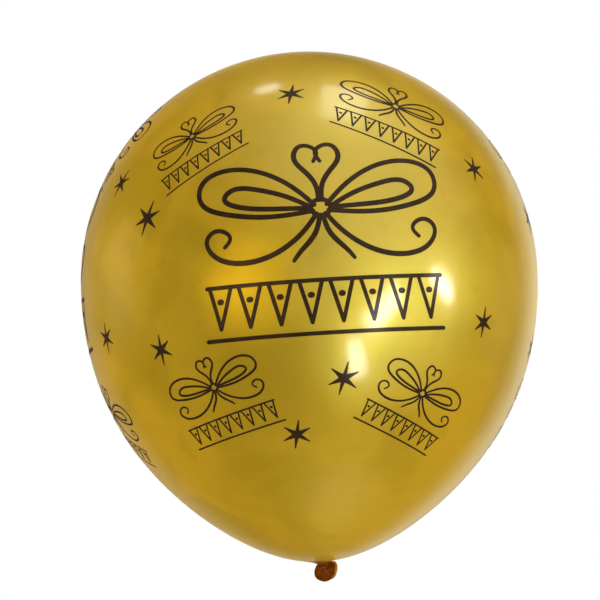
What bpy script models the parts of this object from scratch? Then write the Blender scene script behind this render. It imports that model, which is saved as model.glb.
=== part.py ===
"""A tied latex party balloon: a gold skin blown up to 300 mm across, printed in dark ink on three sides, with
the neck, knot, folded-back tail and rolled bead of its mouth underneath.

Metres, +Z up. The origin is where the neck leaves the skin, the place that a ribbon or a hand holds. The
front print faces -Y.
"""

import math

import bmesh
import bpy
from mathutils import Matrix, Vector

# Skin: the upper half is nearly a sphere, the lower half is longer and narrows towards the neck
RADIUS = 0.150
CROWN_HEIGHT = 0.151
LOWER_HEIGHT = 0.184
BULB_CENTRE = Vector((0, 0, LOWER_HEIGHT))
NARROWING = 0.20
NARROWING_POWER = 3.6
WALL = 0.00002
HOLE_RADIUS = 0.0040
SKIN_RINGS = 26
SKIN_SIDES = 48

# Neck: the gathered latex that comes out of the skin's hole
NECK_RADIUS = 0.0034
NECK_TOP = 0.0090
NECK_BOTTOM = -0.0006

# Knot: a core with one turn of the neck round it, a little to the right of the axis
KNOT_CENTRE = Vector((0.0030, -0.0006, -0.0025))
CORE_RADIUS = 0.0019
CORE_HALF_HEIGHT = 0.0015
TURN_RADIUS = 0.0035
TURN_THICKNESS = 0.0023
TURN_TILT = math.radians(10)

# Tail: a shallow trumpet folded backwards under the knot, with a rolled bead round its oval mouth
TAIL_HINGE = Vector((0.0032, 0.0010, -0.0053))
TAIL_FACING = Vector((0.0, 0.90, -0.44)).normalized()
TAIL_DEPTH = 0.0034
TAIL_START = 0.0006
TAIL_SHIFT = 0.0011
TAIL_FLARE = 1.6
TAIL_RINGS = 7
TAIL_SIDES = 32
TAIL_WALL = 0.00035
THROAT_RADIUS = 0.0011
BEAD_HALF_WIDTH = 0.0069
BEAD_HALF_HEIGHT = 0.0058
BEAD_THICKNESS = 0.0017
GAP = 0.0003

# Print: the same lock-up on three sides, each film laid on the skin
PANELS = {"front": 4, "left": -108, "right": 128}  # degrees round from the front
PRINT_LATITUDE = -4.6
PRINT_TILT = 2.0
INK_LIFT = 0.00012
INK_THICKNESS = 0.00006
RULE_LENGTH = 0.155
RULE_WIDTH = 0.0027
RULE_SPACING = 0.033
PENNANTS = 8
PENNANT_DROP = 0.025
PENNANT_LEG = 0.0038
PENNANT_GAP = 0.0030
BOW_HEIGHT = 0.046
BOW_STROKE = 0.0034
BOW_TOP = [(0.0076, 0.0006), (0.0062, 0.0036), (0.0020, 0.0056)]  # right half of the middle's outline
BOW_FOOT = [(0.0038, -0.0054), (0.0062, -0.0036), (0.0076, -0.0006)]
BOW_LOOP = (0.066, 0.021)
BOW_LOOP_START = 0.03
BOW_TAIL_FROM = (0.005, -0.0045)
BOW_TAIL_TO = (0.060, -0.034)
BOW_SWAY = 0.003

COLOURS = {  # linear colour, roughness, metallic
    "gold_latex": ((0.46, 0.30, 0.020), 0.30, 0.35),
    "amber_latex": ((0.17, 0.045, 0.004), 0.35, 0.0),
    "ink": ((0.028, 0.014, 0.008), 0.55, 0.0),
}


def clear_scene():
    for obj in list(bpy.data.objects):
        bpy.data.objects.remove(obj, do_unlink=True)


def material(name):
    found = bpy.data.materials.get(name)
    if found:
        return found
    colour, roughness, metallic = COLOURS[name]
    made = bpy.data.materials.new(name)
    made.use_nodes = True
    shader = made.node_tree.nodes["Principled BSDF"]
    shader.inputs["Base Color"].default_value = (*colour, 1.0)
    shader.inputs["Roughness"].default_value = roughness
    shader.inputs["Metallic"].default_value = metallic
    return made


def place(name, bm, material_name, parent, origin=(0, 0, 0), inside=None):
    """Makes bm, in world metres, the object called name with its origin at that point. The faces of an open
    sheet are turned away from the point inside."""
    bmesh.ops.recalc_face_normals(bm, faces=bm.faces)
    bm.faces.ensure_lookup_table()
    first = bm.faces[0]
    if inside and first.normal.dot(first.calc_center_median() - inside) < 0:
        bmesh.ops.reverse_faces(bm, faces=bm.faces)
    origin = Vector(origin)
    bm.transform(Matrix.Translation(-origin))
    mesh = bpy.data.meshes.new(name)
    bm.to_mesh(mesh)
    bm.free()
    mesh.shade_smooth()
    mesh.set_sharp_from_angle(angle=math.radians(50))
    mesh.materials.append(material(material_name))
    obj = bpy.data.objects.new(name, mesh)
    bpy.context.scene.collection.objects.link(obj)
    obj.location = origin - Vector(parent.location)
    obj.parent = parent
    return obj


def pivot(name, location):
    """An empty at a joint, which the pieces that move there are parented to."""
    obj = bpy.data.objects.new(name, None)
    obj.empty_display_size = 0.005
    obj.location = location
    bpy.context.scene.collection.objects.link(obj)
    return obj


def thicken(obj, thickness, offset):
    solidify = obj.modifiers.new("wall", "SOLIDIFY")
    solidify.thickness = thickness
    solidify.offset = offset
    solidify.use_even_offset = True


def turned(profile, sides):
    """Spins (radius, height) points round the Z axis. A point on the axis becomes one vertex."""
    bm = bmesh.new()
    points = [bm.verts.new((radius, 0, height)) for radius, height in profile]
    edges = [bm.edges.new(pair) for pair in zip(points, points[1:])]
    bmesh.ops.spin(
        bm,
        geom=points + edges,
        cent=(0, 0, 0),
        axis=(0, 0, 1),
        angle=2 * math.pi,
        steps=sides,
        use_merge=True,
    )
    bmesh.ops.remove_doubles(bm, verts=bm.verts, dist=1e-7)
    return bm


def skin_profile(angle):
    """(radius, height) of the skin at an angle from -90 degrees at the neck to 90 at the crown."""
    rise = math.sin(angle)
    if angle >= 0:
        return RADIUS * math.cos(angle), LOWER_HEIGHT + CROWN_HEIGHT * rise
    narrowing = 1 - NARROWING * (-rise) ** NARROWING_POWER
    return RADIUS * math.cos(angle) * narrowing, LOWER_HEIGHT * (1 + rise)


def halve(low, high, too_far):
    """The value between low and high where too_far turns true."""
    for _ in range(50):
        middle = (low + high) / 2
        if too_far(middle):
            high = middle
        else:
            low = middle
    return (low + high) / 2


def make_skin(parent):
    start = halve(-math.pi / 2, 0, lambda a: skin_profile(a)[0] > HOLE_RADIUS)
    angles = [start + (math.pi / 2 - start) * i / SKIN_RINGS for i in range(SKIN_RINGS)]
    profile = [skin_profile(angle) for angle in angles] + [(0, LOWER_HEIGHT + CROWN_HEIGHT)]
    skin = place("latex_skin", turned(profile, SKIN_SIDES), "gold_latex", parent, inside=BULB_CENTRE)
    thicken(skin, WALL, -1)


def rounded(radius, bottom, top, corner):
    """A turned profile with rounded ends, from the bottom of the axis to its top."""
    quarter = [math.radians(30 * i) for i in range(4)]
    low = [(radius - corner + corner * math.sin(a), bottom + corner - corner * math.cos(a)) for a in quarter]
    high = [(radius - corner + corner * math.cos(a), top - corner + corner * math.sin(a)) for a in quarter]
    return [(0, bottom)] + low + high + [(0, top)]


def make_neck(parent):
    bm = turned(rounded(NECK_RADIUS, NECK_BOTTOM, NECK_TOP, 0.001), 20)
    place("neck", bm, "gold_latex", parent)


def ring(centre, half_width, half_height, thickness, across, up, sides, tube_sides):
    """A closed round rod, bent into an oval in the plane of across and up."""
    bm = bmesh.new()
    out = across.cross(up)
    loops = []
    for i in range(sides):
        turn = 2 * math.pi * i / sides
        spot = centre + across * half_width * math.cos(turn) + up * half_height * math.sin(turn)
        outward = across * math.cos(turn) * half_height + up * math.sin(turn) * half_width
        outward.normalize()
        loop = []
        for j in range(tube_sides):
            roll = 2 * math.pi * j / tube_sides
            reach = outward * math.cos(roll) + out * math.sin(roll)
            loop.append(bm.verts.new(spot + reach * thickness / 2))
        loops.append(loop)
    for i in range(sides):
        one, two = loops[i], loops[(i + 1) % sides]
        for j in range(tube_sides):
            k = (j + 1) % tube_sides
            bm.faces.new((one[j], two[j], two[k], one[k]))
    return bm


def make_knot(parent):
    core = turned(rounded(CORE_RADIUS, -CORE_HALF_HEIGHT, CORE_HALF_HEIGHT, 0.0009), 16)
    core.transform(Matrix.Translation(KNOT_CENTRE))
    place("knot_core", core, "amber_latex", parent, KNOT_CENTRE)
    across = Vector((math.cos(TURN_TILT), 0, math.sin(TURN_TILT)))
    back = Vector((0, 1, 0))
    turn = ring(KNOT_CENTRE, TURN_RADIUS, TURN_RADIUS, TURN_THICKNESS, across, back, 28, 10)
    place("knot_turn", turn, "amber_latex", parent, KNOT_CENTRE)


def make_tail(parent):
    """The trumpet opens from its throat at the hinge to the bead, and faces backwards and down."""
    across = Vector((1, 0, 0))
    up = across.cross(TAIL_FACING) * -1
    mouth = TAIL_HINGE + TAIL_FACING * TAIL_DEPTH + across * TAIL_SHIFT
    lip_width = BEAD_HALF_WIDTH - BEAD_THICKNESS / 2 - GAP
    lip_height = BEAD_HALF_HEIGHT - BEAD_THICKNESS / 2 - GAP
    bm = bmesh.new()
    previous = None
    for i in range(TAIL_RINGS + 1):
        part = i / TAIL_RINGS
        depth = TAIL_START + (TAIL_DEPTH - TAIL_START) * (1 - (1 - part) ** TAIL_FLARE)
        centre = TAIL_HINGE + TAIL_FACING * depth + across * TAIL_SHIFT * part
        width = THROAT_RADIUS + (lip_width - THROAT_RADIUS) * part
        height = THROAT_RADIUS + (lip_height - THROAT_RADIUS) * part
        loop = []
        for j in range(TAIL_SIDES):
            turn = 2 * math.pi * j / TAIL_SIDES
            loop.append(bm.verts.new(centre + across * width * math.cos(turn) + up * height * math.sin(turn)))
        for j in range(TAIL_SIDES):
            k = (j + 1) % TAIL_SIDES
            if previous:
                bm.faces.new((previous[j], previous[k], loop[k], loop[j]))
        if not previous:
            bm.faces.new(loop)
        previous = loop
    tail = place("tail", bm, "amber_latex", parent, TAIL_HINGE)
    thicken(tail, TAIL_WALL, 0)
    bead = ring(mouth, BEAD_HALF_WIDTH, BEAD_HALF_HEIGHT, BEAD_THICKNESS, across, up, 40, 10)
    place("mouth_bead", bead, "amber_latex", parent, TAIL_HINGE)


def on_skin(panel, right, upward):
    """The point just off the skin that lies right and upward of the panel's middle, in metres along the skin.
    A level line of the print keeps to one parallel of the skin."""
    longitude, latitude, tilt = (math.radians(value) for value in panel)
    latitude += (right * math.sin(tilt) + upward * math.cos(tilt)) / RADIUS
    longitude += (right * math.cos(tilt) - upward * math.sin(tilt)) / (RADIUS * math.cos(latitude))
    across, height = skin_profile(
        halve(
            -math.pi / 2,
            math.pi / 2,
            lambda a: math.atan2(skin_profile(a)[1] - LOWER_HEIGHT, skin_profile(a)[0]) > latitude,
        )
    )
    reach = math.hypot(across, height - LOWER_HEIGHT) + INK_LIFT
    level = reach * math.cos(latitude)
    return BULB_CENTRE + Vector(
        (level * math.sin(longitude), -level * math.cos(longitude), reach * math.sin(latitude))
    )


class Film:
    """A thin film of ink, drawn flat in metres from the panel's middle and laid on the skin."""

    def __init__(self, panel):
        self.panel = panel
        self.bm = bmesh.new()

    def point(self, right, upward):
        return self.bm.verts.new(on_skin(self.panel, right, upward))

    def strip(self, left, right):
        """Joins two rows of vertices with faces."""
        for i in range(len(left) - 1):
            self.bm.faces.new((left[i], left[i + 1], right[i + 1], right[i]))

    def place(self, name, parent):
        film = place(name, self.bm, "ink", parent, inside=BULB_CENTRE)
        thicken(film, INK_THICKNESS, 1)


def steps(start, end, count):
    """Points on the straight line from start to end, without its ends."""
    return [
        (start[0] + (end[0] - start[0]) * i / count, start[1] + (end[1] - start[1]) * i / count)
        for i in range(1, count)
    ]


def make_rule(name, panel, parent):
    film = Film(panel)
    count = 20
    rows = []
    for upward in (-RULE_SPACING - RULE_WIDTH / 2, -RULE_SPACING + RULE_WIDTH / 2):
        rows.append([film.point(RULE_LENGTH * (i / count - 0.5), upward) for i in range(count + 1)])
    film.strip(*rows)
    film.place(name, parent)


def make_bunting(name, panel, parent):
    """The upper rule, with a row of outlined pennants that hang from it."""
    film = Film(panel)
    pitch = RULE_LENGTH / PENNANTS
    base, top, tip = -RULE_WIDTH / 2, RULE_WIDTH / 2, -RULE_WIDTH / 2 - PENNANT_DROP
    width = pitch - PENNANT_GAP
    inner_tip = base + (tip - base) * (1 - 2 * PENNANT_LEG / width)
    stations, legs = [-RULE_LENGTH / 2], []
    for i in range(PENNANTS):
        left = -RULE_LENGTH / 2 + pitch * i + PENNANT_GAP / 2
        stations += [left, left + PENNANT_LEG, left + width - PENNANT_LEG, left + width]
        legs.append(len(stations) - 4)
    stations.append(RULE_LENGTH / 2)
    lower = [film.point(x, base) for x in stations]
    film.strip(lower, [film.point(x, top) for x in stations])
    for first in legs:
        middle = stations[first] + width / 2
        outer, inner = film.point(middle, tip), film.point(middle, inner_tip)
        for out_base, in_base in ((first, first + 1), (first + 3, first + 2)):
            outside = [film.point(*spot) for spot in steps((stations[out_base], base), (middle, tip), 4)]
            inside = [film.point(*spot) for spot in steps((stations[in_base], base), (middle, inner_tip), 4)]
            film.strip([lower[out_base], *outside, outer], [lower[in_base], *inside, inner])
    film.place(name, parent)


def stroke(film, path, count, start, end=None):
    """A band along path, a function of 0 to 1, from an edge of the bow's middle to a free end or an edge."""
    left, right = [start[0]], [start[1]]
    for i in range(1, count + (not end)):
        here, ahead = Vector(path(i / count)), Vector(path(i / count + 0.01))
        side = (ahead - here).normalized().orthogonal() * BOW_STROKE / 2
        left.append(film.point(*(here + side)))
        right.append(film.point(*(here - side)))
    if end:
        left.append(end[0])
        right.append(end[1])
    film.strip(left, right)


def make_bow(name, panel, parent):
    """A ribbon bow drawn as one line: a middle, two loops and two waving tails."""
    film = Film(panel)
    corners = BOW_TOP + [(-x, y) for x, y in reversed(BOW_TOP)]
    corners += [(-x, y) for x, y in reversed(BOW_FOOT)] + BOW_FOOT
    middle = [film.point(x, BOW_HEIGHT + y) for x, y in corners]
    heart = film.point(0, BOW_HEIGHT)
    for i, corner in enumerate(middle):
        film.bm.faces.new((heart, corner, middle[(i + 1) % len(middle)]))
    # For each side, the middle's edges (left end first) where the loop leaves and returns and the tail leaves
    for side, leaves, returns, hangs in ((1, (1, 0), (10, 11), (10, 9)), (-1, (5, 4), (6, 7), (8, 7))):

        def loop(part, side=side):
            turn = math.pi * (BOW_LOOP_START + (1 - 2 * BOW_LOOP_START) * part)
            return (side * BOW_LOOP[0] * math.sin(turn), BOW_HEIGHT + BOW_LOOP[1] * math.sin(2 * turn))

        def tail(part, side=side):
            right = BOW_TAIL_FROM[0] + (BOW_TAIL_TO[0] - BOW_TAIL_FROM[0]) * part**1.3
            upward = BOW_TAIL_FROM[1] + (BOW_TAIL_TO[1] - BOW_TAIL_FROM[1]) * part**0.7
            return (side * right, BOW_HEIGHT + upward - BOW_SWAY * math.sin(2 * math.pi * part))

        edges = [[middle[i] for i in pair] for pair in (leaves, returns, hangs)]
        stroke(film, loop, 32, edges[0], edges[1])
        stroke(film, tail, 12, edges[2])
    film.place(name, parent)


def main():
    clear_scene()
    bulb = pivot("bulb", (0, 0, 0))
    neck = pivot("neck_pull", (0, 0, 0))
    knot = pivot("neck_twist", (0, 0, 0))
    tail = pivot("tail_swing", TAIL_HINGE)
    make_skin(bulb)
    for side, longitude in PANELS.items():
        panel = (longitude, PRINT_LATITUDE, PRINT_TILT)
        make_bow(f"print_bow_{side}", panel, bulb)
        make_bunting(f"print_bunting_{side}", panel, bulb)
        make_rule(f"print_rule_{side}", panel, bulb)
    make_neck(neck)
    make_knot(knot)
    make_tail(tail)


main()
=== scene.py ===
"""The looks of a tied gold party balloon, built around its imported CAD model.

Metres, +Z up, in the CAD model's own frame: the origin is where the neck leaves the skin, and the front
print faces -Y. Angles are written in degrees and turned to radians where they are used. A place on the skin
is a longitude, counted from the front towards the right, and a latitude or a profile angle, from -90 degrees
at the neck to 90 at the crown.
"""

import math

import bmesh
import bpy
import numpy as np
from mathutils import Matrix, Vector


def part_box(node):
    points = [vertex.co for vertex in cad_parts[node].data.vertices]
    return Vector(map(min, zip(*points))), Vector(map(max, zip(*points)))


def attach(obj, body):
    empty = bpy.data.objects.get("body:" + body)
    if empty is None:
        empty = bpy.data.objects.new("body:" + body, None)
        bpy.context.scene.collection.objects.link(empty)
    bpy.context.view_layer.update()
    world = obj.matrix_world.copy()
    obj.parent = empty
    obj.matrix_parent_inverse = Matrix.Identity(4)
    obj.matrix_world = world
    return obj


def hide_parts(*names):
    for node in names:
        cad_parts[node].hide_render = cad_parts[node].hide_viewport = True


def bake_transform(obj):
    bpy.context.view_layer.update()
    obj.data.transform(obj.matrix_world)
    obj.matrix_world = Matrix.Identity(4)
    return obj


MM = 0.001
CURVE_SAMPLES = 1500  # on a spline, before its points are spread evenly

# Skin: the same outline as the CAD model's, with its size read from the frame
NARROWING = 0.20
NARROWING_POWER = 3.6
SKIN_SIDES = 300
SKIN_ROWS = 150
FUNNEL_ROWS = 40
FUNNEL_TOP = 9.5 * MM  # radius where the skin starts to gather into the neck
FUNNEL_CURVE = ((6.6, 0.15), (4.8, -0.15), (3.4, -0.9), (2.0, -2.9))  # radius and height in mm
PLEAT_REACH = 34 * MM
PLEATS = ((9, 0.30, 0.4), (14, 0.24, 2.1), (23, 0.14, 4.0))  # folds round the neck, depth in mm, phase
UNEVEN = ((2, 1, 0.16, 0.6), (3, 2, 0.10, 2.2), (5, 3, 0.05, 4.4))  # waves round, waves up, mm, phase
THICK_AT_FUNNEL = 0.30  # share of the neck's thickness that the skin has there
THICK_REACH = 38 * MM
CROWN_THICK = 0.06
CROWN_REACH = 30 * MM

# Print: one lock-up on three sides, with small copies and stars round it
PANELS = {"front": 4, "left": -108, "right": 128}  # longitude from the front
MAIN_LOCKUP = (0, -4.6, 2, 1.0)  # longitude in the panel, latitude, tilt, scale
SMALL_LOCKUPS = (  # the same four values
    (-35, 29.2, 33, 0.40),
    (22.6, 35.6, -29, 0.47),
    (-29, -36.2, 15.5, 0.42),
    (23.9, -38.4, -25.5, 0.40),
)
STARS = (  # longitude in the panel, latitude, width in mm, turn
    (-8.5, 47.8, 20, 4),
    (-48.1, 13.3, 23, -6),
    (47.7, 24.2, 19, -12),
    (44.4, -14.5, 19, 6),
    (-45.3, -19.1, 19, 10),
    (4.3, -28.2, 21, -4),
    (-9.2, -41.9, 19, 0),
)
STAR_ARMS = (  # direction, share of the width, thickness in mm in the middle
    (80, 1.0, 3.6),
    (27, 0.92, 4.8),
    (145, 0.92, 4.8),
)
STAR_SIZE = 22  # width of a star whose arms are that thick
STAR_POINT = 0.8  # thickness of an arm at its ends
STAR_TAPER = 1.15
INK_EDGE = -0.03 * MM  # the film's height above the skin, at its sides, near them and in its middle
INK_SHOULDER = 0.043 * MM
INK_TOP = 0.047 * MM
INK_LAYER = 0.002 * MM  # between strokes that cross
INK_LAYERS = 5
ROUND_END = np.radians([25, 50, 72, 86])

# The lock-up's own sizes, in mm at scale 1
RULE_LENGTH = 155
RULE_WIDTH = 2.7
RULE_SPACING = 33
RULE_STEP = 2.0
PENNANTS = 8
PENNANT_DROP = 26
PENNANT_INSET = 2.4  # from the end of a pennant's share of the rule to its corner
PENNANT_STROKE = 2.7
PENNANT_STEP = 1.6
DOT_DROP = 9.0
DOT_REACH = 0.4
DOT_WIDTH = 3.8
BOW_STROKE = 3.4
BOW_THIN = 0.92  # shares of the stroke: a line's start, the swell in its middle, and a tail's taper
BOW_SWELL = 0.12
BOW_TAPER = 0.18
BOW_STEP = BOW_STROKE * 0.45
BOW_RING = (6.2, 5.4)
BOW_RING_POINTS = 26
BOW_HEIGHT = 46  # of the bow's middle above the rule
BOW_LOOPS = (  # the right half's lines, from the bow's middle
    ((4, 2), (17, 15), (37, 27), (60, 30), (76, 22), (77, 9), (60, 0), (32, -4), (5, -2)),
    ((7, 1), (22, 9), (40, 15), (55, 16), (61, 10), (51, 4), (30, 1), (7, 0)),
)
BOW_TAILS = (
    ((3, -4), (12, -15), (29, -27), (50, -32), (69, -27), (75, -16), (67, -10), (59, -15), (63, -21)),
    ((1, -5), (5, -17), (14, -27), (19, -33)),
    ((1, 5), (2, 15), (8, 25), (14, 35), (9, 44), (0, 40), (2, 32)),  # the curl on top
)

# Knot: one strand, drawn round its centre in mm
KNOT_CENTRE = Vector((3.1, -0.6, -2.5)) * MM
KNOT_TOP = ((0.1, 0.3, 1.6), (-0.6, -1.0, 1.4))  # where the strand comes in, and where it goes out
KNOT_BOTTOM = ((0.4, -0.6, -0.9), (0.0, 0.6, -1.3), (0.0, 0.9, -1.6))
KNOT_START = -110  # the turn between them: its first direction, the angle of a step, the number of steps
KNOT_STEP = 34
KNOT_STEPS = 12
KNOT_REACH = 2.35
KNOT_UNEVEN = 0.2
KNOT_DEPTH = 0.92  # share of the reach, from front to back
KNOT_DROP = 1.7
KNOT_LEAN = 0.35
KNOT_SPACING = 0.25
KNOT_STRAND = 1.15
KNOT_SIDES = 40
KNOT_VOXEL = 0.11
KNOT_PALING = 4.0 * MM  # height above its centre over which it turns paler, darker towards the bottom
KNOT_PALEST = 0.5  # the share of that where it stops

# Tail: a trumpet folded back under the knot, as in the CAD model, with the uneven outline of soft latex
TAIL_HINGE = Vector((3.2, 1.0, -5.3)) * MM
TAIL_FACING = Vector((0.0, 0.90, -0.44)).normalized()
TAIL_DEPTH = 3.4 * MM
TAIL_SHIFT = np.array([1.3, -0.3, 0.4]) * MM  # from the hinge's line to the middle of the mouth
TAIL_FLARE = 1.6
TAIL_WALL = 0.35 * MM
TAIL_SIDES = 140
TAIL_ROWS = 30
TAIL_FOLD = 0.30 * MM
THROAT = 1.25 * MM
THROAT_ROWS = 7  # from inside the knot to the throat
THROAT_START = np.array([0.0, 0.7, -0.9]) * MM  # from the knot's centre
THROAT_SAG = np.array([0, -0.25, 0.1]) * MM
# The mouth's outline in mm, every 30 degrees from the right
LIP_RADII = (6.8, 8.2, 9.0, 7.4, 7.2, 7.0, 7.2, 7.3, 7.0, 6.7, 6.5, 6.6)
LIP_TUCK = 0.11  # how far the left side's edge rolls in, and how far it bulges behind that, as shares
LIP_BULGE = 0.17
LIP_CEILING = -1.0 * MM  # where the bulb presses the tail flat, on the bulb's axis
LIP_CEILING_CURVE = 6.0  # per metre: the bulb's underside rises away from its axis
LIP_PRESS = 1.0 * MM  # the height over which that presses
BEAD_RADIUS = 0.85 * MM
BEAD_OUTWARD = 0.10 * MM
BEAD_STEPS = 150
BEAD_SIDES = 22

# Camera: 3 m off, 5 degrees below the widest part, rolled a little
CAMERA_DISTANCE = 3.0
CAMERA_BELOW = math.radians(5)
CAMERA_ROLL = math.radians(1.8)
CAMERA_LENS = 274
CAMERA_SENSOR = 36
CAMERA_REACH = 200  # metres
AIM_OFFSET = (-6.1 * MM, -12.1 * MM)
FLOOR_HEIGHT = -0.35
FLOOR_SIZE = 60  # metres from the middle to a side
FLOOR_FADE = (0.5, 4.0)  # distances where it starts to fade and where it's gone

# Light: large soft panels for the balloon's colour, and bright panes and glows that its gloss mirrors
FILLS = (  # direction, watts
    ((0, -1, 0), 10),
    ((0, 1, 0), 36),
    ((-1, 0.36, 0.10), 46),
    ((1, 0.40, -0.1), 27),
    ((0.4, 0.05, 1), 25),
    ((0.15, 0.10, -1), 26),
)
FILL_DISTANCE = 2.2
FILL_SIZE = 1.0
WINDOWS = (  # name, direction, width, height, turn, watts
    ("overhead", (0.215, 0.06, 0.97), 0.80, 0.42, -16, 2.8),
    ("overhead_side", (-0.17, 0.28, 0.94), 0.20, 0.20, -20, 0.6),
    ("window", (0.915, -0.402, -0.03), 0.15, 0.38, 64, 5.2),
    ("window_pane", (0.577, -0.79, -0.195), 0.22, 0.58, -50, 8.0),
    ("window_low", (0.355, -0.79, -0.50), 0.20, 0.46, 14, 4.4),
)
WINDOW_DISTANCE = 1.7
GLOWS = (  # direction, cosine where it starts, cosine where it's full, strength
    ((0.66, -0.74, -0.10), 0.58, 1.02, 0.55),
    ((0.50, -0.50, 0.72), 0.50, 1.02, 0.85),
    ((0.10, -0.30, 0.95), 0.50, 1.00, 0.35),
)
CAUSTIC_AT = (-15.6, -4.4)  # longitude and profile angle
CAUSTIC_FROM = (-0.5, -1.5, 0.1)  # from the balloon's middle
CAUSTIC_WIDTH = math.radians(2.6)
CAUSTIC_WATTS = 120
CAUSTIC_LAMP = 0.02  # its radius
AMBIENT = 0.65
# The mirrored room: a pale backdrop behind the balloon, dimmer to the left, in a dark surround. Each pair is
# the range of a direction's Y, X or Z part in which the backdrop's brightness changes.
MIRROR_TINT = (0.96, 1.0, 0.88, 1)
SURROUND = 0.009
BACKDROP_LEFT = 0.21
BACKDROP_RIGHT = 0.68
BACKDROP_OVERHEAD = 0.10  # share that is left above
BACKDROP_BEHIND = (0.56, 0.92)
BACKDROP_ACROSS = (-0.25, 0.5)
BACKDROP_UPPER = (0.25, 0.52)
BACKDROP_LOWER = (-0.82, -0.32)

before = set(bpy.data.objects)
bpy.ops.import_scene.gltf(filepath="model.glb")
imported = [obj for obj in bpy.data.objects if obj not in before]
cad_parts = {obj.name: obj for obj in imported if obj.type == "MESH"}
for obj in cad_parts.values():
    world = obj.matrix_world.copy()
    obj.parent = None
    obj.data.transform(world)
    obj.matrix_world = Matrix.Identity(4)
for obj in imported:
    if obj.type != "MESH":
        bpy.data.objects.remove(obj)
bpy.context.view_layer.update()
_skin_low, skin_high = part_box("latex_skin")
RADIUS = skin_high.x
CROWN = skin_high.z
LOWER = 0.184  # height of the widest part
CENTRE = np.array([0.0, 0.0, LOWER])


# ---------------------------------------------------------------- shapes


def skin_profile(angle):
    """(radius, height) of the skin at angles from -pi/2 at the neck to pi/2 at the crown."""
    rise = np.sin(angle)
    narrowing = 1 - NARROWING * np.clip(-rise, 0, None) ** NARROWING_POWER
    height = np.where(rise > 0, LOWER + (CROWN - LOWER) * rise, LOWER * (1 + rise))
    return RADIUS * np.cos(angle) * narrowing, height


def skin_normal(angle):
    """(outward, upward) parts of the outline's normal."""
    step = 1e-4
    r1, z1 = skin_profile(angle - step)
    r2, z2 = skin_profile(angle + step)
    length = np.hypot(r2 - r1, z2 - z1)
    return (z2 - z1) / length, -(r2 - r1) / length


def unevenness(longitude, angle):
    """How far real latex strays from its outline, fading out at the crown and the neck."""
    stray = 0
    for around, upward, depth, phase in UNEVEN:
        stray = stray + depth * np.sin(around * longitude + phase) * np.cos(upward * angle - phase)
    return stray * MM * np.cos(angle) ** 2


def skin_point(longitude, angle, lift=0.0):
    radius, height = skin_profile(angle)
    outward, upward = skin_normal(angle)
    lift = lift + unevenness(longitude, angle)
    level = radius + outward * lift
    return np.stack(
        [level * np.sin(longitude), -level * np.cos(longitude), height + upward * lift], axis=-1
    )


# The latitude, seen from CENTRE, of each profile angle, to find one from the other
TABLE_ANGLES = np.linspace(-math.pi / 2 + 1e-3, math.pi / 2 - 1e-3, 4000)
TABLE_LATITUDES = np.arctan2(skin_profile(TABLE_ANGLES)[1] - LOWER, skin_profile(TABLE_ANGLES)[0])


def on_skin(panel, lockup, right, upward, lift):
    """Points right and upward, in mm, of a lock-up's middle. A level line of it keeps to one parallel."""
    longitude, latitude, tilt, scale = lockup
    tilt = math.radians(tilt)
    right, upward = np.asarray(right) * MM * scale, np.asarray(upward) * MM * scale
    latitude = math.radians(latitude) + (right * math.sin(tilt) + upward * math.cos(tilt)) / RADIUS
    across = (right * math.cos(tilt) - upward * math.sin(tilt)) / (RADIUS * np.cos(latitude))
    longitude = math.radians(PANELS[panel] + longitude) + across
    return skin_point(longitude, np.interp(latitude, TABLE_LATITUDES, TABLE_ANGLES), lift)


def new_object(name, data):
    obj = bpy.data.objects.new(name, data)
    bpy.context.scene.collection.objects.link(obj)
    return obj


def clean_mesh(mesh, weld=0.0):
    """Joins vertices that are no further apart than weld, and turns all faces outward."""
    bm = bmesh.new()
    bm.from_mesh(mesh)
    if weld:
        bmesh.ops.remove_doubles(bm, verts=bm.verts, dist=weld)
    bmesh.ops.recalc_face_normals(bm, faces=bm.faces)
    bm.to_mesh(mesh)
    bm.free()


class Shape:
    """Vertices and faces, gathered before they become one object.

    values holds a number for each vertex, which the materials read from the mesh: how thick gold latex is,
    and how pale amber latex is. On the tail it also follows the folds, painted shade, and on the bead it is
    a painted highlight.
    """

    def __init__(self):
        self.points, self.faces, self.values = [], [], []

    def grid(self, rows, around=False, ends=False, values=None):
        """A sheet of rows of points. around joins each row up, and ends closes the first and last row."""
        rows = np.asarray(rows, float)
        count, across = rows.shape[:2]
        first = len(self.points)
        self.points.extend(rows.reshape(-1, 3).tolist())
        self.values.extend(np.zeros(count * across) if values is None else np.ravel(values))
        for i in range(count - 1):
            for j in range(across - (not around)):
                k = (j + 1) % across
                a, b = first + i * across, first + (i + 1) * across
                self.faces.append((a + j, a + k, b + k, b + j))
        if ends:
            self.faces.append(tuple(first + j for j in reversed(range(across))))
            last = first + (count - 1) * across
            self.faces.append(tuple(last + j for j in range(across)))

    def fan(self, start, across, point, value=0.0, flip=False):
        """Joins a row, which starts at that vertex number and is that many across, to one point."""
        tip = len(self.points)
        self.points.append(list(point))
        self.values.append(value)
        for j in range(across):
            k = (j + 1) % across
            face = (start + j, start + k, tip)
            self.faces.append(face[::-1] if flip else face)

    def object(self, name, material, sharp=60):
        mesh = bpy.data.meshes.new(name)
        mesh.from_pydata(self.points, [], self.faces)
        thick = mesh.attributes.new("latex_tone_and_painted_light", "FLOAT", "POINT")
        thick.data.foreach_set("value", np.asarray(self.values, np.float32))
        clean_mesh(mesh)
        mesh.shade_smooth()
        mesh.set_sharp_from_angle(angle=math.radians(sharp))
        mesh.materials.append(material)
        return new_object(name, mesh)


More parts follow.
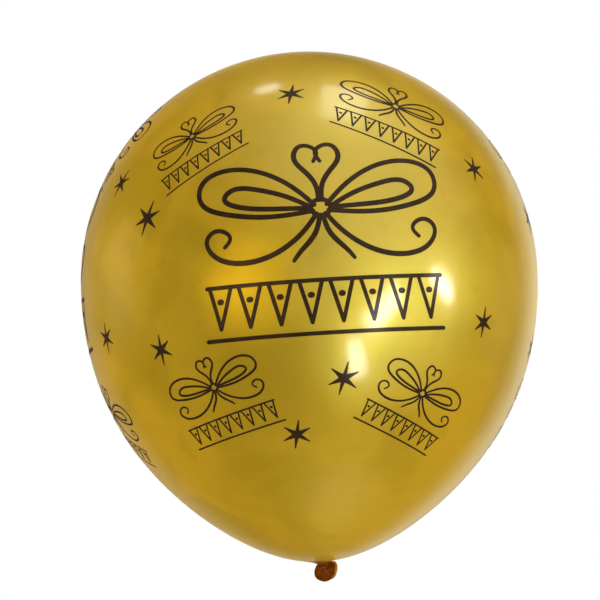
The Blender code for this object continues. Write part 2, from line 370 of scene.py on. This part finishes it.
def smooth_curve(points, spacing):
    """Points that far apart on a natural cubic spline through the given ones."""
    points = np.asarray(points, float)
    chord = np.linalg.norm(np.diff(points, axis=0), axis=1) ** 0.5
    knots = np.concatenate([[0], np.cumsum(chord)])
    gaps = np.diff(knots)
    count = len(points)
    matrix, right = np.eye(count), np.zeros_like(points)
    for i in range(1, count - 1):
        matrix[i, i - 1 : i + 2] = gaps[i - 1], 2 * (gaps[i - 1] + gaps[i]), gaps[i]
        slopes = (points[i + 1] - points[i]) / gaps[i] - (points[i] - points[i - 1]) / gaps[i - 1]
        right[i] = 6 * slopes
    bend = np.linalg.solve(matrix, right)

    def at(parameter):
        i = np.clip(np.searchsorted(knots, parameter, side="right") - 1, 0, count - 2)
        h = gaps[i][:, None]
        a = (knots[i + 1][:, None] - parameter[:, None]) / h
        b = 1 - a
        line = a * points[i] + b * points[i + 1]
        return line + ((a**3 - a) * bend[i] + (b**3 - b) * bend[i + 1]) * h**2 / 6

    dense = at(np.linspace(knots[0], knots[-1], CURVE_SAMPLES))
    length = np.concatenate([[0], np.cumsum(np.linalg.norm(np.diff(dense, axis=0), axis=1))])
    wanted = np.linspace(0, length[-1], max(3, round(length[-1] / spacing)))
    return np.stack([np.interp(wanted, length, dense[:, k]) for k in range(dense.shape[1])], axis=1)


def tube(shape, path, radii, sides, closed=False, crease=None, values=None):
    """A round strand along path. crease(part, turn) gives the share of its radius at each place."""
    path = np.asarray(path, float)
    count = len(path)
    ahead = np.roll(path, -1, axis=0) if closed else np.vstack([path[1:], 2 * path[-1] - path[-2]])
    behind = np.roll(path, 1, axis=0) if closed else np.vstack([2 * path[0] - path[1], path[:-1]])
    along = ahead - behind
    along /= np.linalg.norm(along, axis=1)[:, None]
    side = np.cross(along[0], [0.3, 0.5, 0.8])
    side /= np.linalg.norm(side)
    turn = np.linspace(0, 2 * math.pi, sides, endpoint=False)
    frames = []
    for direction in along:
        side = side - direction * (side @ direction)
        side /= np.linalg.norm(side)
        frames.append(side)
    frames = np.array(frames)
    if closed:  # spread what the frame has turned by over the whole loop
        over = frames[0] - along[-1] * (frames[0] @ along[-1])
        over /= np.linalg.norm(over)
        twist = math.atan2(np.cross(frames[-1], over) @ along[-1], frames[-1] @ over)
        part = np.linspace(0, twist, count)[:, None]
        frames = frames * np.cos(part) + np.cross(along, frames) * np.sin(part)
    other = np.cross(along, frames)
    radii = np.broadcast_to(np.asarray(radii, float), (count,))[:, None] * np.ones(sides)
    if crease:
        radii = radii * crease(np.linspace(0, 1, count)[:, None], turn[None, :])
    reach = frames[:, None] * np.cos(turn)[None, :, None] + other[:, None] * np.sin(turn)[None, :, None]
    rows = path[:, None] + reach * radii[..., None]
    if values is not None:
        values = np.repeat(values, sides)
    if closed:
        rows = np.concatenate([rows, rows[:1]])
        values = None if values is None else np.concatenate([values, values[:sides]])
    shape.grid(rows, around=True, ends=not closed, values=values)


def apply_modifiers(obj):
    graph = bpy.context.evaluated_depsgraph_get()
    graph.update()
    made = bpy.data.meshes.new_from_object(obj.evaluated_get(graph))
    obj.modifiers.clear()
    obj.data = made
    obj.data.name = obj.name
    obj.data.shade_smooth()


# ---------------------------------------------------------------- materials


def colour(red, green, blue):
    return (red, green, blue, 1.0)


class Nodes:
    """A material's or the world's nodes. A value given to a node is a number or another node's output."""

    def __init__(self, owner):
        owner.use_nodes = True
        self.tree = owner.node_tree
        self.tree.nodes.clear()

    def add(self, kind, values=(), **settings):
        node = self.tree.nodes.new("ShaderNode" + kind)
        for key, value in settings.items():
            setattr(node, key, value)
        for key, value in dict(values).items():
            self.put(node, key, value)
        return node

    def put(self, node, key, value):
        if isinstance(value, bpy.types.NodeSocket):
            self.tree.links.new(value, node.inputs[key])
        else:
            node.inputs[key].default_value = value

    def ramp(self, value, low, high, bottom=0.0, top=1.0):
        """value from low to high, spread smoothly from bottom to top."""
        names = {"Value": value, "From Min": low, "From Max": high, "To Min": bottom, "To Max": top}
        return self.add("MapRange", names, interpolation_type="SMOOTHSTEP").outputs["Result"]

    def maths(self, operation, one, two):
        return self.add("Math", {0: one, 1: two}, operation=operation).outputs[0]

    def mix_shaders(self, share, one, two):
        return self.add("MixShader", {0: share, 1: one.outputs[0], 2: two.outputs[0]})


class Shader(Nodes):
    """A material, and the nodes that several of them use."""

    def __init__(self, name):
        self.material = bpy.data.materials.new(name)
        super().__init__(self.material)

    def place(self):
        return self.add("TexCoord").outputs["Object"]

    def noise(self, scale, detail, stretch=None, distortion=0.0):
        where = self.place()
        if stretch:
            where = self.add("Mapping", {"Vector": where, "Scale": stretch}).outputs[0]
        values = {"Vector": where, "Scale": scale, "Detail": detail, "Distortion": distortion}
        return self.add("TexNoise", values).outputs["Fac"]

    def mix(self, share, one, two):
        node = self.add("Mix", data_type="RGBA")
        for key, value in ((0, share), (6, one), (7, two)):
            self.put(node, key, value)
        return node.outputs[2]

    def bump(self, height, distance, strength, onto=None):
        node = self.add("Bump", {"Height": height, "Distance": distance, "Strength": strength})
        if onto is not None:
            self.put(node, "Normal", onto)
        return node.outputs["Normal"]

    def finish(self, values):
        shader = self.add("BsdfPrincipled", values)
        self.add("OutputMaterial", {"Surface": shader.outputs[0]})
        return self.material


def gold_latex():
    """Pearly gold latex: cloudy where it has stretched unevenly, and brown at the neck, where it's thick."""
    nodes = Shader("gold_latex")
    thick = nodes.add("Attribute", attribute_name="latex_tone_and_painted_light").outputs["Fac"]
    clouds = nodes.ramp(nodes.noise(19, 3, distortion=0.6), 0.34, 0.66)
    flow = nodes.ramp(nodes.noise(22, 3, stretch=(1, 1, 0.22)), 0.35, 0.65)
    gold = nodes.mix(clouds, colour(0.415, 0.222, 0.0010), colour(0.525, 0.273, 0.002))
    gold = nodes.mix(nodes.ramp(flow, 0, 1, 0, 0.35), gold, colour(0.46, 0.232, 0.0015))
    blotches = nodes.noise(56, 3, distortion=0.5)
    gold = nodes.mix(nodes.ramp(blotches, 0.54, 0.74, 0, 0.40), gold, colour(0.35, 0.19, 0.001))
    grain = nodes.noise(2400, 1)
    gold = nodes.mix(nodes.ramp(grain, 0.3, 0.7, 0, 0.10), gold, colour(0.62, 0.40, 0.012))
    gold = nodes.mix(nodes.ramp(thick, 0.15, 0.75), gold, colour(0.33, 0.155, 0.008))
    gold = nodes.mix(nodes.ramp(thick, 0.36, 0.74), gold, colour(0.15, 0.045, 0.003))
    waves = nodes.noise(26, 2, stretch=(1, 1, 0.6))
    normal = nodes.bump(waves, 0.0011, 0.5)
    normal = nodes.bump(grain, 0.00004, 0.25, normal)
    return nodes.finish(
        {
            "Base Color": gold,
            "Metallic": 0.0,
            "IOR": 1.9,
            "Roughness": nodes.ramp(clouds, 0, 1, 0.41, 0.46),
            "Normal": normal,
            "Specular IOR Level": 1.0,
            "Specular Tint": colour(1.0, 1.0, 0.13),
            "Coat Weight": 1.0,
            "Coat IOR": 1.5,
            "Coat Roughness": 0.15,
            "Sheen Weight": 0.30,
            "Sheen Roughness": 0.30,
            "Sheen Tint": colour(1.0, 0.62, 0.12),
            "Coat Normal": nodes.bump(waves, 0.0009, 0.5),
        }
    )


# The latex itself, its folds, and its pale colour, which also makes painted shade in the tail's folds; in
# RIM_COLOURS it is the bead's painted highlight
AMBER_COLOURS = (colour(0.185, 0.045, 0.001), colour(0.115, 0.025, 0.001), colour(0.34, 0.115, 0.006))
RIM_COLOURS = (colour(0.17, 0.050, 0.002), colour(0.11, 0.030, 0.001), colour(0.52, 0.225, 0.022))


def amber_latex(name, base, fold, rim):
    """Thick unstretched latex, translucent and dark orange, with darker folds, a paler rim, painted shade in
    the tail's folds and a painted bead highlight.
    """
    nodes = Shader(name)
    paleness_and_painted_light = nodes.add("Attribute", attribute_name="latex_tone_and_painted_light").outputs["Fac"]
    clouds = nodes.ramp(nodes.noise(420, 3, distortion=0.4), 0.35, 0.65)
    shade = nodes.mix(clouds, base, fold)
    # mixes in the pale colour: a painted highlight on the bead, painted shade in the tail's folds
    shade = nodes.mix(nodes.ramp(paleness_and_painted_light, 0.0, 1.0), shade, rim)
    folds = nodes.noise(900, 3)
    return nodes.finish(
        {
            "Base Color": shade,
            "Roughness": nodes.ramp(folds, 0.3, 0.7, 0.42, 0.55),
            "Normal": nodes.bump(folds, 0.0003, 0.5),
            "Specular IOR Level": 0.15,
            "Specular Tint": colour(0.55, 0.20, 0.02),
            "Subsurface Weight": 0.3,
            "Subsurface Radius": (1.0, 0.35, 0.08),
            "Subsurface Scale": 0.0012,
            "Coat Weight": 0.03,
            "Coat Roughness": 0.25,
        }
    )


def ink():
    """Dark brown rubber ink: satin, a little uneven where it has stretched with the skin."""
    nodes = Shader("ink")
    patches = nodes.ramp(nodes.noise(160, 3), 0.35, 0.65)
    speckle = nodes.noise(1800, 2)
    shade = nodes.mix(patches, colour(0.024, 0.013, 0.006), colour(0.034, 0.019, 0.009))
    shade = nodes.mix(nodes.ramp(speckle, 0.55, 0.8, 0, 0.35), shade, colour(0.060, 0.036, 0.018))
    return nodes.finish(
        {
            "Base Color": shade,
            "Roughness": nodes.ramp(patches, 0, 1, 0.42, 0.52),
            "Normal": nodes.bump(speckle, 0.00003, 0.4),
            "Specular IOR Level": 0.15,
            "Specular Tint": colour(0.55, 0.20, 0.02),
            "Coat Weight": 0.22,
            "Coat Roughness": 0.20,
        }
    )


# ---------------------------------------------------------------- skin and neck


def pleats(longitude, radius):
    """The folds that gather the skin into the neck, deepest where it is tied.

    They depend on the radius alone, so a faint trace of them also shows round the crown.
    """
    share = np.clip(1 - radius / PLEAT_REACH, 0, 1) ** 3
    fold = 0
    for count, depth, phase in PLEATS:
        fold = fold + depth * (0.5 - np.abs(np.sin(count * longitude / 2 + phase)))
    return fold * MM * share


def funnel_angle():
    """The profile angle where the skin is as wide as the top of the funnel."""
    angle = -np.arccos(FUNNEL_TOP / (RADIUS * (1 - NARROWING)))
    for _ in range(20):
        radius, _height = skin_profile(angle)
        angle -= (radius - FUNNEL_TOP) / RADIUS
    return angle


def make_funnel(longitude, top):
    """(rows of points, thickness) of the gathered neck, from the skin down and sideways into the knot."""
    ring = np.ones_like(longitude)
    part = np.linspace(0, 1, FUNNEL_ROWS)[:, None]
    corners = np.vstack([skin_profile(top), np.array(FUNNEL_CURVE) * MM])
    degree = len(FUNNEL_CURVE)
    weights = [math.comb(degree, k) * part**k * (1 - part) ** (degree - k) for k in range(degree + 1)]
    spot = sum(weight[..., None] * corner for weight, corner in zip(weights, corners))
    radius, height = spot[..., 0], spot[..., 1]
    shift = part**1.2
    depth = pleats(longitude, radius * ring)
    level = radius * ring + depth * part**0.5
    rows = np.stack(
        [
            level * np.sin(longitude) + KNOT_CENTRE.x * shift * ring,
            -level * np.cos(longitude) + KNOT_CENTRE.y * shift * ring,
            height * ring + depth * (1 - part) ** 0.5,
        ],
        axis=-1,
    )
    return rows, THICK_AT_FUNNEL + (1 - THICK_AT_FUNNEL) * part**0.6 * ring


def make_bulb(longitude, bottom):
    """(rows of points, thickness) from the funnel to the crown. The rows are closest where the folds are."""
    ring = np.ones_like(longitude)
    steps = np.linspace(0, 1, SKIN_ROWS)[1:-1, None]
    angle = bottom + (math.pi / 2 - bottom) * (0.35 * steps**2.2 + 0.65 * steps)
    around = longitude * np.ones_like(angle)
    rows = skin_point(around, angle * ring)
    radius, _height = skin_profile(angle)
    fold = pleats(longitude, radius * ring)
    outward, upward = skin_normal(angle)
    rows[..., 0] += fold * outward * np.sin(around)
    rows[..., 1] -= fold * outward * np.cos(around)
    rows[..., 2] += fold * upward * ring
    low = THICK_AT_FUNNEL * np.clip(1 - radius / THICK_REACH, 0, 1) ** 1.5 * ring
    crown = CROWN_THICK * np.exp(-(radius / CROWN_REACH) ** 2) * (angle > 0)
    return rows, low + crown * ring


def make_skin(material):
    longitude = np.linspace(0, 2 * math.pi, SKIN_SIDES, endpoint=False)[None, :]
    meeting = funnel_angle()
    lower, lower_thick = make_funnel(longitude, meeting)
    upper, upper_thick = make_bulb(longitude, meeting)
    rows = np.concatenate([lower[::-1], upper])
    shape = Shape()
    shape.grid(rows, around=True, values=np.concatenate([lower_thick[::-1], upper_thick]))
    shape.fan((len(rows) - 1) * SKIN_SIDES, SKIN_SIDES, (0, 0, CROWN))
    shape.fan(0, SKIN_SIDES, lower[-1].mean(axis=0), 1.0, flip=True)
    skin = shape.object("skin_gold_latex", material)
    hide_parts("latex_skin", "neck")
    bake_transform(skin)


# ---------------------------------------------------------------- print


class Print(Shape):
    """Ink strokes drawn in mm round a lock-up's middle and laid on the skin."""

    def __init__(self, panel):
        super().__init__()
        self.panel = panel
        self.strokes = 0

    def stroke(self, lockup, path, width, round_ends=True):
        """A band along path, of that width or widths, raised in its middle and tucked in at its sides."""
        path = np.asarray(path, float)
        width = np.broadcast_to(np.asarray(width, float), (len(path),))
        along = np.gradient(path, axis=0)
        along /= np.linalg.norm(along, axis=1)[:, None]
        if round_ends:
            reach, taper, added = np.sin(ROUND_END)[:, None], np.cos(ROUND_END), len(ROUND_END)
            tip = path[-1] + along[-1] * width[-1] / 2 * reach
            tail = (path[0] - along[0] * width[0] / 2 * reach)[::-1]
            path = np.vstack([tail, path, tip])
            width = np.concatenate([width[0] * taper[::-1], width, width[-1] * taper])
            along = np.vstack([np.repeat(along[:1], added, 0), along, np.repeat(along[-1:], added, 0)])
        side = np.stack([-along[:, 1], along[:, 0]], axis=1)
        lift = INK_LAYER * (self.strokes % INK_LAYERS)
        self.strokes += 1
        rows = []
        for across, height in (
            (-0.5, INK_EDGE),
            (-0.48, INK_SHOULDER + lift),
            (0, INK_TOP + lift),
            (0.48, INK_SHOULDER + lift),
            (0.5, INK_EDGE),
        ):
            spot = path + side * width[:, None] * across
            rows.append(on_skin(self.panel, lockup, spot[:, 0], spot[:, 1], height))
        self.grid(np.stack(rows, axis=1), around=True, ends=True)

    def make(self, name, material, *stands_for):
        obj = self.object(name, material, sharp=18)
        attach(obj, "bulb")
        if stands_for:
            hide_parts(*stands_for)


def draw_bow(page, lockup):
    """A ribbon bow drawn as a flourish: a ring, two double loops, curling tails and curls on top."""
    turn = np.linspace(0, 2 * math.pi, BOW_RING_POINTS)
    ring = np.stack([BOW_RING[0] * np.cos(turn), BOW_HEIGHT + BOW_RING[1] * np.sin(turn)], axis=1)
    page.stroke(lockup, ring, BOW_STROKE * BOW_THIN, round_ends=False)
    for side in (1, -1):
        for line in BOW_LOOPS + BOW_TAILS:
            path = smooth_curve([(side * x, BOW_HEIGHT + y) for x, y in line], BOW_STEP)
            part = np.linspace(0, 1, len(path))
            width = BOW_STROKE * (BOW_THIN + BOW_SWELL * np.sin(math.pi * part))
            if line in BOW_TAILS:
                width = width * (1 - BOW_TAPER * part**3)
            page.stroke(lockup, path, width)


def straight(start, end, spacing):
    start, end = np.array(start, float), np.array(end, float)
    count = max(2, round(np.linalg.norm(end - start) / spacing))
    return start + (end - start) * np.linspace(0, 1, count)[:, None]


def draw_rule(page, lockup, upward):
    half = RULE_LENGTH / 2 - RULE_WIDTH / 4
    page.stroke(lockup, straight((-half, upward), (half, upward), RULE_STEP), RULE_WIDTH)


def draw_bunting(page, lockup):
    """The upper rule with outlined pennants on it, and a dot in each."""
    draw_rule(page, lockup, 0)
    pitch = RULE_LENGTH / PENNANTS
    half = pitch / 2 - PENNANT_INSET
    for i in range(PENNANTS):
        middle = RULE_LENGTH * ((i + 0.5) / PENNANTS - 0.5)
        tip = (middle, -PENNANT_DROP)
        for side in (-1, 1):
            start = (middle + side * half, 0)
            page.stroke(lockup, straight(start, tip, PENNANT_STEP), PENNANT_STROKE)
        dot = straight((middle - DOT_REACH, -DOT_DROP), (middle + DOT_REACH, -DOT_DROP), DOT_REACH)
        page.stroke(lockup, dot, DOT_WIDTH)


def draw_star(page, star):
    """Six arms as three strokes that cross, each thickest in its middle."""
    longitude, latitude, width, turn = star
    lockup = (longitude, latitude, turn, 1.0)
    for direction, share, thickness in STAR_ARMS:
        reach = width / 2 * share
        angle = math.radians(direction)
        end = np.array([math.cos(angle), math.sin(angle)]) * reach
        path = straight(-end, end, reach / 6)
        part = np.abs(np.linspace(-1, 1, len(path)))
        middle = thickness * width / STAR_SIZE
        page.stroke(lockup, path, STAR_POINT + (middle - STAR_POINT) * (1 - part) ** STAR_TAPER)


def make_prints(material):
    for panel in PANELS:
        bow, bunting, rule, copies, stars = (Print(panel) for _ in range(5))
        draw_bow(bow, MAIN_LOCKUP)
        draw_bunting(bunting, MAIN_LOCKUP)
        draw_rule(rule, MAIN_LOCKUP, -RULE_SPACING)
        for lockup in SMALL_LOCKUPS:
            draw_bow(copies, lockup)
            draw_bunting(copies, lockup)
            draw_rule(copies, lockup, -RULE_SPACING)
        for star in STARS:
            draw_star(stars, star)
        bow.make(f"ink_bow_{panel}", material, f"print_bow_{panel}")
        bunting.make(f"ink_bunting_{panel}", material, f"print_bunting_{panel}")
        rule.make(f"ink_rule_{panel}", material, f"print_rule_{panel}")
        copies.make(f"ink_small_copies_{panel}", material)
        stars.make(f"ink_stars_{panel}", material)


# ---------------------------------------------------------------- knot and tail


def knot_path():
    """An overhand knot pulled tight: down from the neck, once round and under itself, out to the tail."""
    spots = list(KNOT_TOP)
    for step in range(KNOT_STEPS + 1):
        turn = math.radians(KNOT_START + KNOT_STEP * step)
        height = KNOT_DROP / 2 - KNOT_DROP * (step / KNOT_STEPS)
        reach = KNOT_REACH + KNOT_UNEVEN * math.sin(2 * turn + 0.7)
        across, behind = math.cos(turn), math.sin(turn)
        spots.append((reach * across, reach * KNOT_DEPTH * behind, height + KNOT_LEAN * across))
    spots += KNOT_BOTTOM
    return smooth_curve(spots, KNOT_SPACING)


def make_knot(material):
    """Modelled with a metre for each mm, fused into one skin of latex, and scaled down."""
    shape = Shape()

    def folds(part, turn):
        return 1 + 0.08 * np.sin(6 * turn + 5 * part) + 0.05 * np.sin(11 * turn - 9 * part)

    path = knot_path()
    part = np.linspace(0, 1, len(path))
    tube(shape, path, KNOT_STRAND + 0.12 * np.sin(7 * part + 1), KNOT_SIDES, crease=folds)
    knot = shape.object("knot_amber_latex", material)
    fuse = knot.modifiers.new("fuse", "REMESH")
    fuse.mode = "VOXEL"
    fuse.voxel_size = KNOT_VOXEL
    ease = knot.modifiers.new("ease", "SMOOTH")
    ease.factor = 0.5
    ease.iterations = 3
    apply_modifiers(knot)
    knot.data.transform(Matrix.Translation(KNOT_CENTRE) @ Matrix.Scale(MM, 4))
    places = np.empty(len(knot.data.vertices) * 3, np.float32)
    knot.data.vertices.foreach_get("co", places)
    height = places[2::3] - KNOT_CENTRE.z
    old = knot.data.attributes.get("latex_tone_and_painted_light")
    layer = old or knot.data.attributes.new("latex_tone_and_painted_light", "FLOAT", "POINT")
    layer.data.foreach_set("value", np.clip(height / KNOT_PALING, 0, KNOT_PALEST).astype(np.float32))
    knot.data.materials.clear()
    knot.data.materials.append(material)
    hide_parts("knot_core", "knot_turn")
    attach(knot, "knot")


def lip_radius(turn):
    """The outline through LIP_RADII, as the sum of waves that meets each of them."""
    waves = np.fft.rfft(LIP_RADII) / len(LIP_RADII)
    radius = np.full_like(turn, waves[0].real)
    for k, wave in enumerate(waves[1:-1], 1):
        radius = radius + 2 * (wave.real * np.cos(k * turn) - wave.imag * np.sin(k * turn))
    return radius * MM


def lip(turn, part, grow=0.0):
    """Points round the trumpet at a share of its length. Its left side rolls back over the bead."""
    across, facing = np.array([1.0, 0.0, 0.0]), np.array(TAIL_FACING)
    rise = np.cross(across, facing)
    rise = rise * math.copysign(1, rise[2])
    rolled = (1 - np.cos(turn)) / 2
    full = lip_radius(turn) + grow
    rim = full * (1 - LIP_TUCK * rolled)
    bulge = full * LIP_BULGE * rolled * math.sin(math.pi * part) * part
    radius = THROAT + (rim - THROAT) * part + bulge
    depth = TAIL_DEPTH * (1 - (1 - part) ** TAIL_FLARE)
    wave = 0.9 * rolled - 0.5 + 0.35 * np.cos(2 * turn + 0.5) + 0.2 * np.sin(3 * turn + 1)  # mm
    warp = wave * MM * part**2
    spot = np.array(TAIL_HINGE) + TAIL_SHIFT * part + across * (radius * np.cos(turn))[..., None]
    spot = spot + rise * (radius * np.sin(turn))[..., None] + facing * (depth + warp)[..., None]
    ceiling = LIP_CEILING + LIP_CEILING_CURVE * (spot[..., 0] ** 2 + spot[..., 1] ** 2)
    over = np.clip(spot[..., 2] - ceiling + LIP_PRESS, 0, None)
    spot[..., 2] -= over - LIP_PRESS * (1 - np.exp(-over / LIP_PRESS))
    return spot


def make_tail(material):
    turn = np.linspace(0, 2 * math.pi, TAIL_SIDES, endpoint=False)
    rows, values = [], []
    start = np.array(KNOT_CENTRE) + THROAT_START
    throat = lip(turn, 0.0)
    for step in range(THROAT_ROWS):
        share = step / THROAT_ROWS
        ring = throat * share + (start + (throat - throat.mean(axis=0)) * 1.05) * (1 - share)
        rows.append(ring + THROAT_SAG * math.sin(math.pi * share))
        values.append(np.zeros_like(turn))
    fold = np.sin(7 * turn + 0.6) * 0.5 + np.sin(11 * turn + 2) * 0.3 + np.sin(17 * turn) * 0.2
    for step in range(TAIL_ROWS + 1):
        part = step / TAIL_ROWS
        share = math.sin(math.pi * min(1, part**0.7 * 1.02)) * (1 - 0.5 * part)
        rows.append(lip(turn, part) - np.array(TAIL_FACING) * (fold * TAIL_FOLD * share)[:, None])
        # paler towards the mouth and mid-flare; the fold term follows the shape's folds, paler on one side
        # and darker on the other: painted shade in the folds
        values.append(0.35 * part**3 + 0.25 * fold * share + 0.1 * share)
    shape = Shape()
    shape.grid(rows, around=True, values=np.clip(values, 0, 1))
    tail = shape.object("tail_amber_latex", material)
    wall = tail.modifiers.new("wall", "SOLIDIFY")
    wall.thickness = TAIL_WALL
    wall.offset = -1
    apply_modifiers(tail)
    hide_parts("tail")
    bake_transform(tail)


def make_bead(material):
    turn = np.linspace(0, 2 * math.pi, BEAD_STEPS, endpoint=False)
    path = lip(turn, 1.0, grow=BEAD_OUTWARD)
    radii = BEAD_RADIUS * (1 + 0.09 * np.sin(3 * turn + 1) + 0.06 * np.sin(7 * turn))

    def rolls(part, around):
        return 1 + 0.035 * np.cos(4 * around + 12 * part) + 0.02 * np.sin(90 * part + around)

    lit = 0.12 + 0.88 * np.clip(np.cos(turn - 0.25), 0, 1) ** 1.3  # painted highlight: palest on the right, where the light falls on the bead, dark on the left
    shape = Shape()
    tube(shape, path, radii, BEAD_SIDES, closed=True, crease=rolls, values=lit)
    bead = shape.object("mouth_bead_amber_latex", material)
    clean_mesh(bead.data, weld=1e-6)
    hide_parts("mouth_bead")
    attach(bead, "tail")


# ---------------------------------------------------------------- camera, light and floor


def make_camera():
    data = bpy.data.cameras.new("camera")
    data.lens = CAMERA_LENS
    data.sensor_width = CAMERA_SENSOR
    data.clip_end = CAMERA_REACH
    camera = new_object("camera", data)
    bpy.context.scene.camera = camera
    ahead = Vector((0, math.cos(CAMERA_BELOW), math.sin(CAMERA_BELOW)))
    level, over = Vector((1, 0, 0)), Vector((0, -math.sin(CAMERA_BELOW), math.cos(CAMERA_BELOW)))
    up = over * math.cos(CAMERA_ROLL) + level * math.sin(CAMERA_ROLL)
    right = ahead.cross(up)
    place = Vector(CENTRE) - ahead * CAMERA_DISTANCE
    aim = Vector(CENTRE) + right * AIM_OFFSET[0] + up * AIM_OFFSET[1]
    back = (place - aim).normalized()
    right = up.cross(back).normalized()
    up = back.cross(right)
    turned = Matrix((right, up, back)).transposed().to_4x4()
    camera.matrix_world = Matrix.Translation(place) @ turned


def add_light(name, direction, distance, width, height, turn, watts, seen_by):
    """A panel that faces the balloon's middle, and lights either its colour or its gloss."""
    data = bpy.data.lights.new(name, "AREA")
    data.shape = "RECTANGLE"
    data.size, data.size_y = width, height
    data.energy = watts
    light = new_object(name, data)
    away = Vector(direction).normalized()
    facing = away.to_track_quat("Z", "Y").to_matrix().to_4x4()
    place = Matrix.Translation(Vector(CENTRE) + away * distance)
    light.matrix_world = place @ facing @ Matrix.Rotation(math.radians(turn), 4, "Z")
    light.visible_camera = False
    light.visible_diffuse = seen_by == "diffuse"
    light.visible_glossy = seen_by == "glossy"


def make_lights():
    for i, (direction, watts) in enumerate(FILLS):
        add_light(f"fill_{i}", direction, FILL_DISTANCE, FILL_SIZE, FILL_SIZE, 0, watts, "diffuse")
    for name, direction, width, height, turn, watts in WINDOWS:
        add_light(name, direction, WINDOW_DISTANCE, width, height, turn, watts, "glossy")


def make_caustic():
    """The patch where the skin, like a lens, gathers the light that comes through it."""
    data = bpy.data.lights.new("caustic", "SPOT")
    data.energy = CAUSTIC_WATTS
    data.spot_size = CAUSTIC_WIDTH
    data.spot_blend = 1.0
    data.shadow_soft_size = CAUSTIC_LAMP
    light = new_object("caustic", data)
    place = CENTRE + np.array(CAUSTIC_FROM)
    target = skin_point(*np.radians(CAUSTIC_AT))
    light.location = place
    light.rotation_euler = Vector(target - place).to_track_quat("-Z", "Y").to_euler()
    light.visible_glossy = False


def make_world():
    """White to the eye, even light on the balloon's colour, and a dark room with glows for its gloss."""
    world = bpy.data.worlds.new("studio")
    bpy.context.scene.world = world
    nodes = Nodes(world)
    where = nodes.add("TexCoord").outputs["Generated"]
    axes = nodes.add("SeparateXYZ", {0: where})
    backdrop = nodes.ramp(axes.outputs["Y"], *BACKDROP_BEHIND)
    side = nodes.ramp(axes.outputs["X"], *BACKDROP_ACROSS, BACKDROP_LEFT, BACKDROP_RIGHT)
    upper = nodes.ramp(axes.outputs["Z"], *BACKDROP_UPPER, 1, BACKDROP_OVERHEAD)
    lower = nodes.ramp(axes.outputs["Z"], *BACKDROP_LOWER)
    level = nodes.maths("MULTIPLY", upper, lower)
    shown = nodes.maths("MULTIPLY", backdrop, nodes.maths("MULTIPLY", side, level))
    total = nodes.maths("ADD", SURROUND, shown)
    for direction, start, full, strength in GLOWS:
        towards = {0: where, 1: Vector(direction).normalized()}
        cosine = nodes.add("VectorMath", towards, operation="DOT_PRODUCT").outputs["Value"]
        total = nodes.maths("ADD", total, nodes.ramp(cosine, start, full, 0, strength))
    seen = nodes.add("Background", {"Color": colour(1, 1, 1)})
    ray = nodes.add("LightPath")
    mirrored = nodes.add("Background", {"Color": MIRROR_TINT, "Strength": total})
    ambient = nodes.add("Background", {"Color": colour(1, 1, 1), "Strength": AMBIENT})
    lit = nodes.mix_shaders(ray.outputs["Is Diffuse Ray"], mirrored, ambient)
    mix = nodes.mix_shaders(ray.outputs["Is Camera Ray"], lit, seen)
    nodes.add("OutputWorld", {"Surface": mix.outputs[0]})


def make_floor():
    """A pale floor that fades into the white round it, and that a camera sees through from below."""
    nodes = Shader("floor")
    far = nodes.add("VectorMath", {0: nodes.place()}, operation="LENGTH").outputs["Value"]
    fade = nodes.ramp(far, *FLOOR_FADE)
    speckle = nodes.ramp(nodes.noise(60, 3), 0.3, 0.7, 0.80, 0.84)
    pale = nodes.add("BsdfDiffuse", {"Color": speckle})
    white = nodes.add("Emission", {"Color": colour(1, 1, 1)})
    clear = nodes.add("BsdfTransparent")
    under = nodes.add("NewGeometry").outputs["Backfacing"]
    both = nodes.mix_shaders(under, nodes.mix_shaders(fade, pale, white), clear)
    nodes.add("OutputMaterial", {"Surface": both.outputs[0]})
    bm = bmesh.new()
    bmesh.ops.create_grid(bm, x_segments=8, y_segments=8, size=FLOOR_SIZE)
    mesh = bpy.data.meshes.new("floor")
    bm.to_mesh(mesh)
    bm.free()
    mesh.materials.append(nodes.material)
    floor = new_object("floor", mesh)
    floor.location.z = FLOOR_HEIGHT
    floor.visible_glossy = False
    floor.visible_diffuse = False
    floor.visible_shadow = False


def main():
    bpy.context.scene.view_settings.view_transform = "Standard"
    make_camera()
    make_world()
    make_lights()
    make_caustic()
    make_floor()
    make_skin(gold_latex())
    make_prints(ink())
    amber = amber_latex("amber_latex", *AMBER_COLOURS)
    rim = amber_latex("amber_latex_rim", *RIM_COLOURS)
    make_knot(amber)
    make_tail(amber)
    make_bead(rim)


main()
